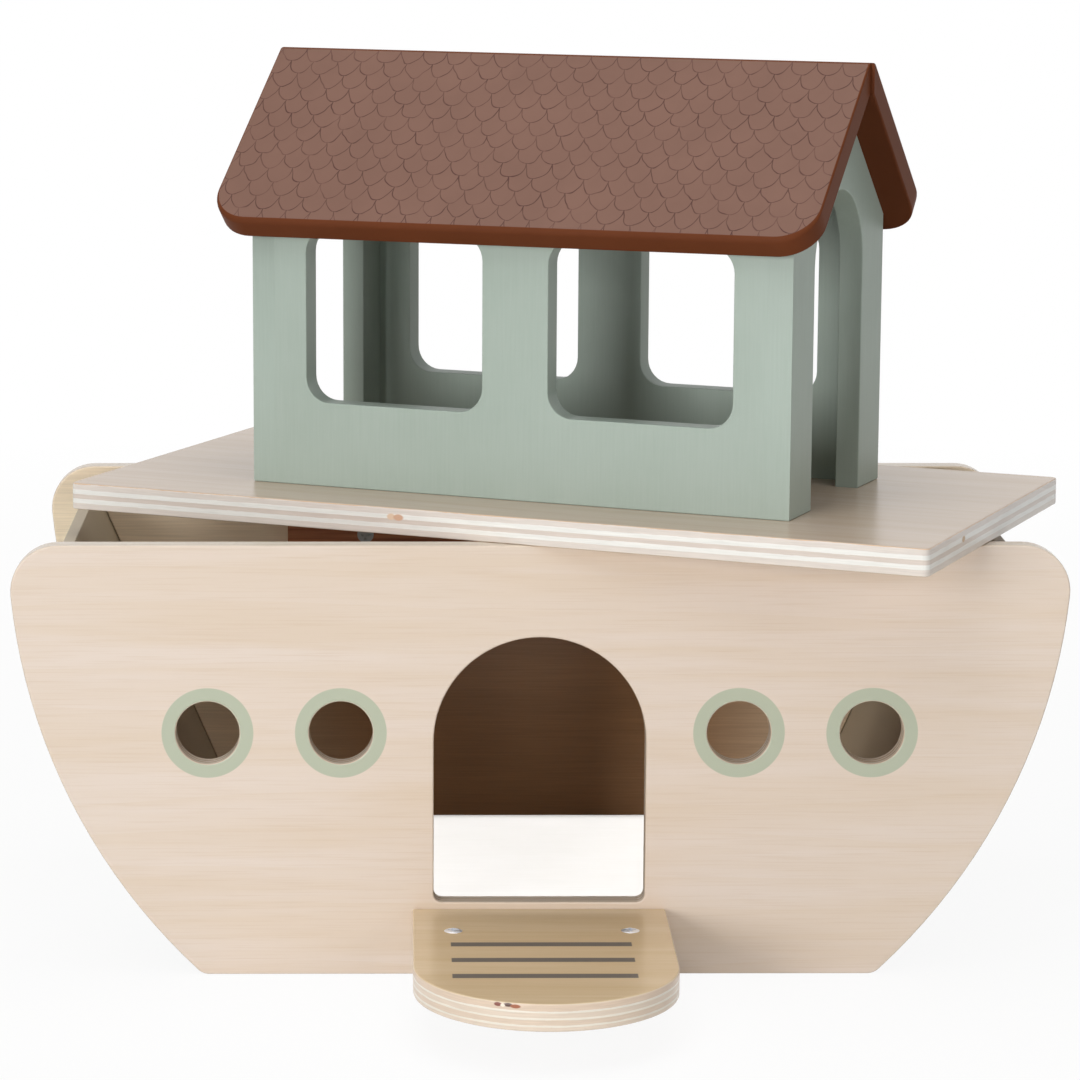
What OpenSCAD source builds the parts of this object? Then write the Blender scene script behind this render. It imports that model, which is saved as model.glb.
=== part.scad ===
// Wooden toy ark: a plywood hull with an arched doorway, portholes and a boarding ramp,
// and a loose deck that carries a painted cabin with a gable roof.
// X runs along the hull, Y from its front to its back, Z up from the ground; the origin is
// on the ground under the middle of the hull. All sizes are in millimetres.

/* [Hull] */
// Length of the hull panels along their top line, before the corners are rounded
hull_l = 381; // [350:1:420]
// Depth of the hull over both panels
hull_d = 186; // [165:1:210]
// Height of the hull panels
hull_h = 158.5; // [145:0.5:170]
// Thickness of the hull panels
panel_t = 9; // [7:0.5:14]
// Radius of the curved ends of the hull panels
side_r = 218; // [200:1:260]
// Rounding of the upper corners of the hull panels
top_corner_r = 17; // [8:1:28]
// Rounding of the lower corners of the hull panels
foot_corner_r = 6; // [2:1:12]

/* [Doorway] */
// Width of the arched doorway
door_w = 76.5; // [60:0.5:90]
// Height of the door sill above the ground
door_sill = 27; // [25:0.5:36]
// Height of the doorway from its sill to the crown of the arch
door_h = 98; // [80:1:110]
// Rounding of the two corners at the sill
door_corner_r = 3; // [1:0.5:8]

/* [Portholes] */
// Diameter of a porthole
porthole_d = 23; // [14:0.5:30]
// Height of the portholes above the ground
porthole_z = 90; // [75:1:105]
// Distance of the inner portholes from the middle of the hull
porthole_x = 71.7; // [62:0.1:80]
// Spacing of the two portholes on each side of the doorway
porthole_pitch = 48; // [36:0.5:52]

/* [End boards] */
// Thickness of the sloping end boards
end_t = 4; // [3:0.5:6]
// Distance from the ends of the panels' top line to the end boards' top
end_top_inset = 14.5; // [10:0.5:22]
// Distance from the panels' foot corners to the foot of the end boards
end_foot_inset = 10; // [8:0.5:18]
// Depth of the grooves that house the end boards in the panels
groove_depth = 3; // [2:0.5:4]

/* [Floor] */
// Thickness of the floor board, which stands on the ground
floor_t = 14.9; // [9:0.1:18]
// Width of the floor's tongue under the front panel
tongue_w = 80; // [70:1:88]
// Wood left on the tongue in front of the ramp screws
tongue_margin = 12; // [8:1:20]
// Diameter of the dowels that hold the floor
floor_dowel_d = 6; // [4:0.5:7]
// Length of a floor dowel inside the floor board
floor_dowel_grip = 18; // [12:1:26]
// Distance of a floor dowel from the tongue's side or the floor's end
floor_dowel_edge = 17; // [12:1:24]

/* [Deck rails] */
// Depth of the deck's seat below the panels' top
seat_depth = 10; // [6:0.5:16]
// Length of a deck rail
rail_l = 190; // [150:1:240]
// Height of a deck rail
rail_h = 24; // [20:1:30]
// Thickness of a deck rail
rail_t = 10; // [6:0.5:14]
// Spacing of the two screws in a rail
rail_screw_pitch = 128; // [90:1:140]
// Height of the rail screws above the rail's lower edge
rail_screw_z = 8; // [6:0.5:14]

/* [Ramp] */
// Width of the boarding ramp
ramp_w = 92; // [90:1:104]
// Length of the ramp from the hull to its rounded end
ramp_l = 119; // [100:1:130]
// Thickness of the ramp
ramp_t = 9.8; // [8:0.1:11]
// Spacing of the two ramp screws
ramp_screw_pitch = 63; // [50:0.5:64]
// Distance of the ramp screws from the hull
ramp_screw_y = 29.5; // [20:0.5:40]
// Rise of the ramp screws' rounded heads above the ramp
ramp_screw_rise = 0.7; // [0.4:0.1:1]

/* [Deck] */
// Thickness of the deck board
deck_t = 10; // [8:0.5:14]
// Clearance of the seated deck to each hull panel
deck_side_gap = 1; // [0.5:0.1:3]
// Clearance of the seated deck to each end board
deck_end_gap = 4.5; // [1:0.1:8]
// Rounding of the deck's corners
deck_corner_r = 2.5; // [1:0.5:8]
// Where the deck lies along the hull
deck_x = 12.5; // [-20:0.5:20]
// Where the deck lies across the hull
deck_y = -9.5; // [-15:0.5:15]
// Turn of the deck where it lies on the hull
deck_turn = -24.5; // [-30:0.5:30]

/* [Cabin] */
// Length of the cabin over both gables
cabin_l = 212; // [190:1:240]
// Depth of the cabin over both walls
cabin_d = 102.5; // [92:0.5:120]
// Thickness of the cabin's walls and gables
wall_t = 9; // [8:0.5:12]
// Height of the walls at their outer face
wall_h = 100.3; // [92:0.1:115]
// Width of a window
window_w = 71; // [50:1:76]
// Width of the pillar between two windows
pillar_w = 26; // [16:1:36]
// Height of the window sill above the deck
window_sill = 31.5; // [26:0.5:45]
// Wood left between a window and the wall's top
window_head = 4; // [2:0.5:10]
// Rounding of the window corners
window_r = 9.2; // [4:0.1:16]
// Width of the doorway in a gable
gable_door_w = 54.5; // [40:0.5:58]
// Height of the gable doorway at the crown of its arch
gable_door_h = 113.5; // [95:0.5:116]
// Diameter of the dowels in the cabin's corners and under the roof
cabin_dowel_d = 5; // [3:0.5:6]
// Length of a screw inside the cabin's walls
cabin_screw_grip = 18; // [12:1:22]
// Spacing of the screws under a long wall
cabin_screw_pitch = 120; // [80:1:150]

/* [Roof] */
// Pitch of the roof slabs in degrees
roof_pitch = 43; // [38:0.5:48]
// Length of the roof along the ridge
roof_l = 237; // [225:1:260]
// Length of a slab down its slope, from the ridge to the eave
roof_slope_l = 88.7; // [82:0.1:105]
// Thickness of a roof slab
roof_t = 9; // [8:0.5:12]
// Rounding of the eave corners
roof_corner_r = 15; // [6:1:24]
// Rounding of the corners at the ridge's ends
roof_ridge_r = 3; // [2.5:0.25:8]
// Rounding of the slabs' edges and of the ridge
roof_edge_r = 2.5; // [1:0.25:3]
// Length of a roof dowel inside the gable
roof_dowel_grip = 10; // [6:0.5:12]
// Distance of the lower roof dowel from the gable's shoulder, along the slope
roof_dowel_edge = 14; // [10:1:20]
// Spacing of the two roof dowels on a slope
roof_dowel_pitch = 29; // [20:1:34]

/* [Joinery] */
// Clearance of boards, dowels and screws in their grooves and holes
fit_gap = 0.1; // [0.05:0.05:0.3]
// Diameter of a screw's shank
screw_d = 3; // [2.5:0.5:4]
// Diameter of a screw's head
screw_head_d = 6.6; // [5.5:0.1:8]
// Wood left in front of the tip of a dowel or screw
tip_skin = 3; // [2:0.5:4]

/* [Hidden] */
$fn = 48;

PLY = [0.89, 0.83, 0.75];
SAGE = [0.66, 0.72, 0.66];
BROWN = [0.49, 0.33, 0.28];
STEEL = [0.75, 0.75, 0.77];
WHITE = [0.95, 0.95, 0.94];
BEECH = [0.80, 0.66, 0.48];
HARDWOOD = [0.52, 0.33, 0.22];

// Cuts run this far past a face
over = 1;
// Thickness of the layers that a rounded slab is blended from
layer_t = 0.05;

// Hull outline: each curved end is an arc that stands upright at the panel's top line
side_c = [hull_l / 2 - side_r, hull_h];
top_c = [side_c.x + sqrt(pow(side_r - top_corner_r, 2) - pow(top_corner_r, 2)), hull_h - top_corner_r];
foot_c = [
    side_c.x + sqrt(pow(side_r - foot_corner_r, 2) - pow(hull_h - foot_corner_r, 2)),
    foot_corner_r
];
top_a = atan2(top_c.y - side_c.y, top_c.x - side_c.x);
foot_a = atan2(foot_c.y - side_c.y, foot_c.x - side_c.x);
foot_x = side_c.x + sqrt(pow(side_r, 2) - pow(hull_h, 2));
inner_d = hull_d - 2 * panel_t;

// End boards: they lean from the foot of the panels out to the deck's seat
seat_z = hull_h - seat_depth;
end_foot_x = foot_x - end_foot_inset;
end_top_x = hull_l / 2 - end_top_inset;
end_run = (end_top_x - end_foot_x) / seat_z;
end_width = end_t * sqrt(1 + pow(end_run, 2));
function end_outer(z) = end_foot_x + end_run * z;
function end_inner(z) = end_outer(z) - end_width;

// Floor and ramp
tongue_l = ramp_screw_y + tongue_margin;
floor_dowel_xs = [
    tongue_w / 2 + floor_dowel_edge, end_inner(floor_t / 2) - floor_dowel_edge
];
floor_dowel_skin = panel_t - tip_skin;

// Deck and cabin
deck_w = inner_d - 2 * deck_side_gap;
deck_l = 2 * (end_inner(seat_z) - deck_end_gap);
wall_y = (cabin_d - wall_t) / 2;
gable_x = (cabin_l - wall_t) / 2;
wall_rise = tan(roof_pitch);
peak = wall_h + cabin_d / 2 * wall_rise;
window_h = wall_h - window_head - window_sill;
gable_strip = (cabin_d - gable_door_w) / 2;
corner_dowel_zs = [window_sill / 2, wall_h - window_sill / 2];
corner_dowel_skin = wall_t - tip_skin;
corner_dowel_grip = cabin_l / 2 - wall_t - pillar_w / 2 - window_w - tip_skin;
roof_dowel_skin = roof_t - tip_skin;
roof_dowel_y = cabin_d / 2 / cos(roof_pitch) - roof_dowel_edge;
eave_y = roof_slope_l - roof_t * wall_rise;
ridge_y = -roof_t * wall_rise - roof_edge_r / 2;
ridge_end_r = max(roof_ridge_r, roof_edge_r + 0.5);

// Points along an arc from angle a0 to a1
function arc(c, r, a0, a1, n) =
    [for (i = [0:n]) c + r * [cos(a0 + (a1 - a0) * i / n), sin(a0 + (a1 - a0) * i / n)]];

// The same points mirrored to the other side, in reverse order
function flip(pts) = [for (i = [len(pts) - 1:-1:0]) [-pts[i].x, pts[i].y]];

// Every point of a list apart from its first
function rest(pts) = [for (i = [1:len(pts) - 1]) pts[i]];

// A flat outline stood upright along X, with its back at Y = 0
module upright(t) {
    rotate([90, 0, 0]) linear_extrude(t) children();
}

// A flat outline stood upright along Y, with its thickness about X = 0
module endwise(t) {
    rotate([90, 0, 90]) linear_extrude(t, center = true) children();
}

// The right-hand shape as it is, or mirrored to the left where s is -1
module handed(s) {
    mirror([s < 0 ? 1 : 0, 0, 0]) children();
}

module rod(d, z0, z1) {
    translate([0, 0, z0]) cylinder(d = d, h = z1 - z0);
}

// Rounded top of a raised screw head
module screw_dome(rise) {
    half = screw_head_d / 2;
    r = (half * half + rise * rise) / (2 * rise);
    rotate_extrude() polygon(concat([[0, 0]], arc([0, rise - r], r, acos(half / r), 90, 5)));
}

// Countersunk screw, head up at Z = 0, with a cross recess; rise is that of a rounded top, if any
module screw(length, rise = 0) {
    head_h = (screw_head_d - screw_d) / 2;
    recess_w = screw_head_d / 6;
    recess_l = 0.58 * screw_head_d;
    recess_h = 0.6 * head_h;
    difference() {
        union() {
            translate([0, 0, -head_h]) cylinder(d1 = screw_d, d2 = screw_head_d, h = head_h);
            rod(screw_d, -length, -head_h / 2);
            if (rise > 0) screw_dome(rise);
        }
        for (a = [0, 90]) rotate(a) translate([-recess_l / 2, -recess_w / 2, -recess_h])
            cube([recess_l, recess_w, recess_h + rise + over]);
    }
}

// Hole for that screw, flush with its head
module screw_hole(length) {
    head_h = (screw_head_d - screw_d) / 2;
    mouth_d = screw_head_d + 2 * fit_gap;
    hole_d = screw_d + 2 * fit_gap;
    translate([0, 0, -head_h]) cylinder(d1 = hole_d, d2 = mouth_d, h = head_h);
    rod(hole_d, -length - fit_gap, -head_h / 2);
    rod(mouth_d, 0, over);
}

module panel_outline() {
    right = concat(
        arc(foot_c, foot_corner_r, -90, foot_a, 6),
        rest(arc(side_c, side_r, foot_a, top_a, 20)),
        rest(arc(top_c, top_corner_r, top_a, 90, 12))
    );
    polygon(concat(right, flip(right)));
}

module doorway() {
    r = door_corner_r;
    right = concat(
        arc([door_w / 2 - r, door_sill + r], r, -90, 0, 4),
        arc([0, door_sill + door_h - door_w / 2], door_w / 2, 0, 90, 24)
    );
    polygon(concat(right, rest(flip(right))));
}

module portholes() {
    for (s = [-1, 1], i = [0, 1]) translate([s * (porthole_x + i * porthole_pitch), porthole_z])
        circle(d = porthole_d);
}

module end_profile(gap) {
    polygon([
        [end_inner(0) - gap, -gap], [end_outer(0) + gap, -gap],
        [end_outer(seat_z) + gap, seat_z + gap], [end_inner(seat_z) - gap, seat_z + gap]
    ]);
}

// The end boards' ends, as they sit in the grooves of both panels
module end_grooves() {
    for (s = [-1, 1]) handed(s) translate([0, inner_d / 2 + groove_depth, 0])
        upright(inner_d + 2 * groove_depth) end_profile(fit_gap);
}

module end_board() {
    reach = inner_d / 2 + groove_depth - fit_gap;
    translate([0, reach, 0]) upright(2 * reach) end_profile(0);
}

// Dowel axes of the floor, pointing out of it through each panel
module at_floor_dowels() {
    for (side = [-1, 1], s = [-1, 1], x = floor_dowel_xs)
        translate([s * x, side * inner_d / 2, floor_t / 2]) rotate([-side * 90, 0, 0]) children();
}

module floor_dowel_holes() {
    at_floor_dowels()
        rod(floor_dowel_d + 2 * fit_gap, -floor_dowel_grip - fit_gap, floor_dowel_skin + fit_gap);
}

// Screw axes of a rail, head towards the hold; side is -1 for the front, 1 for the back
module at_rail_screws(side) {
    for (s = [-1, 1])
        translate([s * rail_screw_pitch / 2, side * (inner_d / 2 - rail_t), seat_z - rail_h + rail_screw_z])
            rotate([side * 90, 0, 0]) children();
}

rail_screw_l = rail_t + panel_t - tip_skin;

module hull_panel(side) {
    color(PLY) difference() {
        translate([0, side * (hull_d - panel_t) / 2 + panel_t / 2, 0]) upright(panel_t) difference() {
            panel_outline();
            if (side < 0) {
                doorway();
                portholes();
                translate([-tongue_w / 2 - fit_gap, -over])
                    square([tongue_w + 2 * fit_gap, floor_t + fit_gap + over]);
            }
        }
        end_grooves();
        floor_dowel_holes();
        at_rail_screws(side) screw_hole(rail_screw_l);
    }
}

module hull_front_panel() { hull_panel(-1); }

module hull_back_panel() { hull_panel(1); }

module left_end_board() {
    color(SAGE) handed(-1) end_board();
}

module right_end_board() {
    color(SAGE) end_board();
}

// Ramp screw axes, head up at the seat of the head
module at_ramp_screws() {
    for (s = [-1, 1])
        translate([s * ramp_screw_pitch / 2, -hull_d / 2 - ramp_screw_y, floor_t + ramp_t])
            children();
}

ramp_screw_l = ramp_t + floor_t - tip_skin;

module hull_floor() {
    width = inner_d - 2 * fit_gap;
    color(WHITE) difference() {
        union() {
            translate([0, width / 2, 0]) upright(width) polygon([
                [fit_gap - end_inner(0), 0], [end_inner(0) - fit_gap, 0],
                [end_inner(floor_t) - fit_gap, floor_t], [fit_gap - end_inner(floor_t), floor_t]
            ]);
            translate([-tongue_w / 2, -hull_d / 2 - tongue_l, 0])
                cube([tongue_w, tongue_l + panel_t + over, floor_t]);
        }
        floor_dowel_holes();
        at_ramp_screws() screw_hole(ramp_screw_l);
    }
}

module floor_dowels() {
    color(BEECH) at_floor_dowels() rod(floor_dowel_d, -floor_dowel_grip, floor_dowel_skin);
}

module deck_rail(side) {
    color(HARDWOOD) difference() {
        translate([-rail_l / 2, side * (inner_d - rail_t) / 2 - rail_t / 2, seat_z - rail_h])
            cube([rail_l, rail_t, rail_h]);
        at_rail_screws(side) screw_hole(rail_screw_l);
    }
}

module front_deck_rail() { deck_rail(-1); }

module back_deck_rail() { deck_rail(1); }

module deck_rail_screws() {
    color(STEEL) for (side = [-1, 1]) at_rail_screws(side) screw(rail_screw_l);
}

module boarding_ramp() {
    r = ramp_w / 2;
    straight = ramp_l - r - fit_gap;
    color(PLY) difference() {
        translate([0, -hull_d / 2 - fit_gap, floor_t]) linear_extrude(ramp_t) union() {
            translate([-r, -straight]) square([ramp_w, straight]);
            translate([0, -straight]) circle(r, $fn = 96);
        }
        at_ramp_screws() screw_hole(ramp_screw_l);
    }
}

module ramp_screws() {
    color(STEEL) at_ramp_screws() screw(ramp_screw_l, ramp_screw_rise);
}

// The deck where it lies on top of the panels
module on_deck() {
    translate([deck_x, deck_y, hull_h]) rotate(deck_turn) children();
}

module on_cabin() {
    on_deck() translate([0, 0, deck_t]) children();
}

// Screw axes under the cabin, head down at the deck's underside
module at_cabin_screws() {
    places = concat(
        [for (s = [-1, 1], side = [-1, 1]) [s * cabin_screw_pitch / 2, side * wall_y]],
        [for (s = [-1, 1], side = [-1, 1]) [s * gable_x, side * (cabin_d - gable_strip) / 2]]
    );
    on_deck() for (p = places) translate(p) rotate([180, 0, 0]) children();
}

cabin_screw_l = deck_t + cabin_screw_grip;

module cabin_screw_holes() {
    at_cabin_screws() screw_hole(cabin_screw_l);
}

module deck_board() {
    r = deck_corner_r;
    half = [deck_l / 2 - r, deck_w / 2 - r];
    right = concat(
        arc([half.x, -half.y], r, -90, 0, 4),
        arc(half, r, 0, 90, 4)
    );
    color(PLY) difference() {
        on_deck() linear_extrude(deck_t) polygon(concat(right, flip(right)));
        cabin_screw_holes();
    }
}

// Dowel axes at the cabin's corners, pointing out of the long walls' ends
module at_corner_dowels() {
    on_cabin() for (s = [-1, 1], side = [-1, 1], z = corner_dowel_zs)
        translate([s * (cabin_l / 2 - wall_t), side * wall_y, z]) rotate([0, s * 90, 0]) children();
}

module corner_dowel_holes() {
    at_corner_dowels()
        rod(cabin_dowel_d + 2 * fit_gap, -corner_dowel_grip - fit_gap, corner_dowel_skin + fit_gap);
}

module window() {
    r = window_r;
    x = window_w / 2 - r;
    z = window_h / 2 - r;
    right = concat(arc([x, -z], r, -90, 0, 8), arc([x, z], r, 0, 90, 8));
    translate([(window_w + pillar_w) / 2, window_sill + window_h / 2]) polygon(concat(right, flip(right)));
}

// A long wall; its top follows the roof; side is -1 for the front, 1 for the back
module cabin_wall(side) {
    length = cabin_l - 2 * wall_t;
    color(SAGE) difference() {
        on_cabin() rotate(side > 0 ? 180 : 0) difference() {
            endwise(length) polygon([
                [-cabin_d / 2, 0], [wall_t - cabin_d / 2, 0],
                [wall_t - cabin_d / 2, wall_h + wall_t * wall_rise], [-cabin_d / 2, wall_h]
            ]);
            translate([0, wall_t - cabin_d / 2 + over, 0]) upright(wall_t + 2 * over)
                for (s = [0, 1]) mirror([s, 0]) window();
        }
        corner_dowel_holes();
        cabin_screw_holes();
    }
}

module cabin_front_wall() { cabin_wall(-1); }

module cabin_back_wall() { cabin_wall(1); }

module gable_outline() {
    r = gable_door_w / 2;
    door = concat([[r, -over]], arc([0, gable_door_h - r], r, 0, 90, 24));
    difference() {
        polygon([
            [-cabin_d / 2, 0], [cabin_d / 2, 0], [cabin_d / 2, wall_h], [0, peak], [-cabin_d / 2, wall_h]
        ]);
        polygon(concat(door, rest(flip(door))));
    }
}

module cabin_gable(s) {
    color(SAGE) difference() {
        on_cabin() translate([s * gable_x, 0, 0]) endwise(wall_t) gable_outline();
        corner_dowel_holes();
        cabin_screw_holes();
        roof_dowel_holes();
    }
}

module cabin_left_gable() { cabin_gable(-1); }

module cabin_right_gable() { cabin_gable(1); }

module cabin_corner_dowels() {
    color(BEECH) at_corner_dowels() rod(cabin_dowel_d, -corner_dowel_grip, corner_dowel_skin);
}

module cabin_screws() {
    color(STEEL) at_cabin_screws() screw(cabin_screw_l);
}

// A roof slope's own frame: Z along the slab's outward normal from its underside, Y down the slope
module on_slope(side) {
    on_cabin() translate([0, 0, peak]) rotate(side < 0 ? 180 : 0) rotate([-roof_pitch, 0, 0]) children();
}

module at_roof_dowels() {
    for (side = [-1, 1]) on_slope(side) for (s = [-1, 1], y = [roof_dowel_y - roof_dowel_pitch, roof_dowel_y])
        translate([s * gable_x, y, 0]) children();
}

module roof_dowel_holes() {
    at_roof_dowels() rod(cabin_dowel_d + 2 * fit_gap, -roof_dowel_grip - fit_gap, roof_dowel_skin + fit_gap);
}

// One layer of a slab: its outline drawn in by an inset, at a height above the underside
module slab_layer(inset, z) {
    r = roof_corner_r - inset;
    x = roof_l / 2 - inset - r;
    y = eave_y - inset - r;
    ridge_c = [roof_l / 2 - ridge_end_r, ridge_y + ridge_end_r];
    right = concat(
        arc(ridge_c, ridge_end_r - inset, -90, 0, 4), flip(arc([-x, y], r, 90, 180, 8))
    );
    translate([0, 0, z]) linear_extrude(layer_t) polygon(concat(right, flip(right)));
}

// A slab with rounded edges, cut along the upright plane of the ridge, and its ridge rounded
module roof_slab(side) {
    r = roof_edge_r;
    steps = 4;
    ridge_c = [0, (roof_t - r) / cos(roof_pitch)];
    color(BROWN) difference() {
        on_slope(side) hull() for (i = [0:steps]) {
            a = 90 * i / steps;
            slab_layer(r * (1 - sin(a)), r * (1 - cos(a)));
            slab_layer(r * (1 - sin(a)), roof_t - r * (1 - cos(a)) - layer_t);
        }
        on_cabin() translate([0, 0, peak]) rotate(side < 0 ? 180 : 0) {
            translate([-roof_l, fit_gap / 2 - roof_l, -roof_l]) cube(2 * [roof_l, roof_l / 2, roof_l]);
            endwise(2 * roof_l) polygon(concat(
                arc(ridge_c, r, 90, 90 - roof_pitch, 6), [[0, roof_t / cos(roof_pitch) + over]]
            ));
        }
        roof_dowel_holes();
    }
}

module roof_front_slab() { roof_slab(-1); }

module roof_back_slab() { roof_slab(1); }

module roof_dowels() {
    color(BEECH) at_roof_dowels() rod(cabin_dowel_d, -roof_dowel_grip, roof_dowel_skin);
}

hull_front_panel();
hull_back_panel();
left_end_board();
right_end_board();
hull_floor();
floor_dowels();
front_deck_rail();
back_deck_rail();
deck_rail_screws();
boarding_ramp();
ramp_screws();
deck_board();
cabin_front_wall();
cabin_back_wall();
cabin_left_gable();
cabin_right_gable();
cabin_corner_dowels();
cabin_screws();
roof_front_slab();
roof_back_slab();
roof_dowels();
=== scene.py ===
"""Looks of a wooden toy ark.

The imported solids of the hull, the ramp, the loose deck and the cabin stay where they are. This file
eases their edges, gives each its finish, lays two boards of its own in place of the roof's slabs, and
sets the studio and the camera round them.
Sizes are in millimetres unless a name says otherwise; the scene itself is in metres.
"""

import logging
import math
from dataclasses import dataclass
from enum import Enum

import bmesh
import bpy
from mathutils import Euler, Matrix, Vector


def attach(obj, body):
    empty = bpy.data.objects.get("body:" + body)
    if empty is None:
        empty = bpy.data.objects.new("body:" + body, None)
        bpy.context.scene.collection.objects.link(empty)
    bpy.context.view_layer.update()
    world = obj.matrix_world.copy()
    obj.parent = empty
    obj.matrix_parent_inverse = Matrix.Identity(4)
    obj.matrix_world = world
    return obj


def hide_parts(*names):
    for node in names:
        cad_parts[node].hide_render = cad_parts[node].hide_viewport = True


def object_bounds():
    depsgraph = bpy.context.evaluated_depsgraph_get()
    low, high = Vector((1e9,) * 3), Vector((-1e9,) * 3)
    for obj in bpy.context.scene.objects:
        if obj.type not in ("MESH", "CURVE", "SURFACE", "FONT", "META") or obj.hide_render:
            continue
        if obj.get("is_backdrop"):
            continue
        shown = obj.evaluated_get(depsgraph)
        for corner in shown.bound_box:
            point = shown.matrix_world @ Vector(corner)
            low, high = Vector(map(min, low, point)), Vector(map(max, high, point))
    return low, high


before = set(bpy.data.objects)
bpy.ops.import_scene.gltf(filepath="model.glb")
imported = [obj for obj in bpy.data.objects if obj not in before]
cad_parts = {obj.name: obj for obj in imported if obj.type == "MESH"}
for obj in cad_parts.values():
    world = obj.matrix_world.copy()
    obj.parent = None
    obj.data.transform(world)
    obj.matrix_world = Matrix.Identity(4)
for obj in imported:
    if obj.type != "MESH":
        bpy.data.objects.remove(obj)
CAD_BOX: tuple[Vector, Vector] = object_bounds()

MM: float = 0.001
LOG = logging.getLogger("toy_ark")

Tree = bpy.types.NodeTree
Socket = bpy.types.NodeSocket
Pair = tuple[float, float]
Triple = tuple[float, float, float]

# Settings that every node of a kind has here, and the setting that the word after a kind gives
COMMON: dict[str, dict[str, object]] = {"Mix": {"data_type": "RGBA"}}
MODES: dict[str, str] = {
    "Math": "operation",
    "VectorMath": "operation",
    "MapRange": "interpolation_type",
    "Mix": "blend_type",
}


def linear(colour: str) -> tuple[float, float, float, float]:
    """Turns an sRGB hex colour to the linear values that a shader takes.

    Args:
        colour: six hex digits after a hash sign.

    Returns:
        Red, green, blue and an alpha of 1.
    """
    parts = [int(colour[i : i + 2], 16) / 255 for i in (1, 3, 5)]
    red, green, blue = (c / 12.92 if c <= 0.04045 else ((c + 0.055) / 1.055) ** 2.4 for c in parts)
    return red, green, blue, 1.0


def fill(tree: Tree, node: bpy.types.Node, inputs: dict | list | tuple) -> None:
    """Gives a node's inputs their values and links.

    Args:
        tree: the node's tree.
        node: the node.
        inputs: values, hex colours or sockets, by name, or in the order of the inputs in use.
    """
    used = [s for s in node.inputs if s.enabled]
    if isinstance(inputs, dict):
        used = [next(s for s in used if s.name == name) for name in inputs]
        inputs = list(inputs.values())
    for socket, value in zip(used, inputs):
        if isinstance(value, Socket):
            tree.links.new(value, socket)
        else:
            socket.default_value = linear(value) if isinstance(value, str) else value


def add(
    tree: Tree, kind: str, inputs: dict | list | tuple = (), out: int | str = 0, **settings: object
) -> Socket:
    """Adds a shader node with its settings and its links.

    Args:
        tree: the node tree of a material or of the world.
        kind: the node's type, without the prefix that all shader nodes share, and its mode if any.
        inputs: what its inputs get.
        out: the output to hand back, by name or by place among those in use.
        settings: properties set on the node before its inputs.

    Returns:
        The output socket that was asked for.
    """
    kind, _, mode = kind.partition(" ")
    node = tree.nodes.new("ShaderNode" + kind)
    if mode:
        settings[MODES[kind]] = mode
    for name, value in (COMMON.get(kind, {}) | settings).items():
        setattr(node, name, value)
    fill(tree, node, inputs)
    results = [s for s in node.outputs if s.enabled]
    return results[out] if isinstance(out, int) else next(s for s in results if s.name == out)


def blotches(
    tree: Tree, place: Socket, size: Triple, detail: float, rough: float = 0.5, bend: float = 0.0
) -> Socket:
    """Draws a soft random pattern of blotches or streaks.

    Args:
        tree: the material's node tree.
        place: the point in the board's frame, in millimetres.
        size: size of a blotch along, across and out of the board.
        detail: how many finer patterns lie on it.
        rough: how strong these are.
        bend: how far it is bent.

    Returns:
        The pattern, as values about 0.5.
    """
    at = add(tree, "VectorMath MULTIPLY", [place, [1 / s for s in size]])
    shape = {"Vector": at, "Scale": 1.0, "Detail": detail, "Roughness": rough, "Distortion": bend}
    return add(tree, "TexNoise", shape)


def put(name: str, data: bpy.types.ID) -> bpy.types.Object:
    """Puts a new object in the scene.

    Args:
        name: its name.
        data: its mesh, lamp or camera.

    Returns:
        The object.
    """
    made = bpy.data.objects.new(name, data)
    bpy.context.scene.collection.objects.link(made)
    return made


class Gloss(Enum):
    """How a finish shines: its roughness, and its specular level, where 0.5 is a bare coat."""

    ZINC = (0.45, 0.5)
    SATIN = (0.42, 0.25)
    LACQUER = (0.27, 0.4)
    MATT = (0.6, 0.3)
    EGGSHELL = (0.5, 0.05)

    @property
    def roughness(self) -> float:
        """Returns the surface's roughness."""
        return self.value[0]

    @property
    def specular(self) -> float:
        """Returns the surface's specular level."""
        return self.value[1]


@dataclass(frozen=True)
class BoardFrame:
    """Where a board lies: its own X runs along the grain, Y across it, and Z out of its face.

    Attributes:
        origin: a point on the board's lower face, in the part's frame.
        turn: the board's turns about X, Y and Z, in degrees.
    """

    origin: Triple = (0.0, 0.0, 0.0)
    turn: Triple = (0.0, 0.0, 0.0)

    def angles(self) -> Euler:
        """Returns the board's turns as Euler angles."""
        return Euler([math.radians(a) for a in self.turn], "XYZ")

    def matrix(self) -> Matrix:
        """Returns the matrix from the board's millimetres to the part's metres."""
        shift = Matrix.Translation([c * MM for c in self.origin])
        return shift @ self.angles().to_matrix().to_4x4() @ Matrix.Scale(MM, 4)

    def place(self, tree: Tree) -> Socket:
        """Adds the nodes that give a point's place in the board's own frame.

        Args:
            tree: the material's node tree.

        Returns:
            A vector socket, in millimetres.
        """
        inputs = {
            "Vector": add(tree, "TexCoord", out="Object"),
            "Location": [c * MM for c in self.origin],
            "Rotation": self.angles(),
            "Scale": (MM, MM, MM),
        }
        return add(tree, "Mapping", inputs, vector_type="TEXTURE")

    def facing(self, tree: Tree) -> Socket:
        """Adds the nodes that tell how far a surface faces out of the board.

        Args:
            tree: the material's node tree.

        Returns:
            A value socket: 1 on the face, 0 on an edge, -1 on the back.
        """
        normal = add(tree, "TexCoord", out="Normal")
        outward = self.angles().to_matrix() @ Vector((0, 0, 1))
        return add(tree, "VectorMath DOT_PRODUCT", [normal, outward], out="Value")


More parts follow.
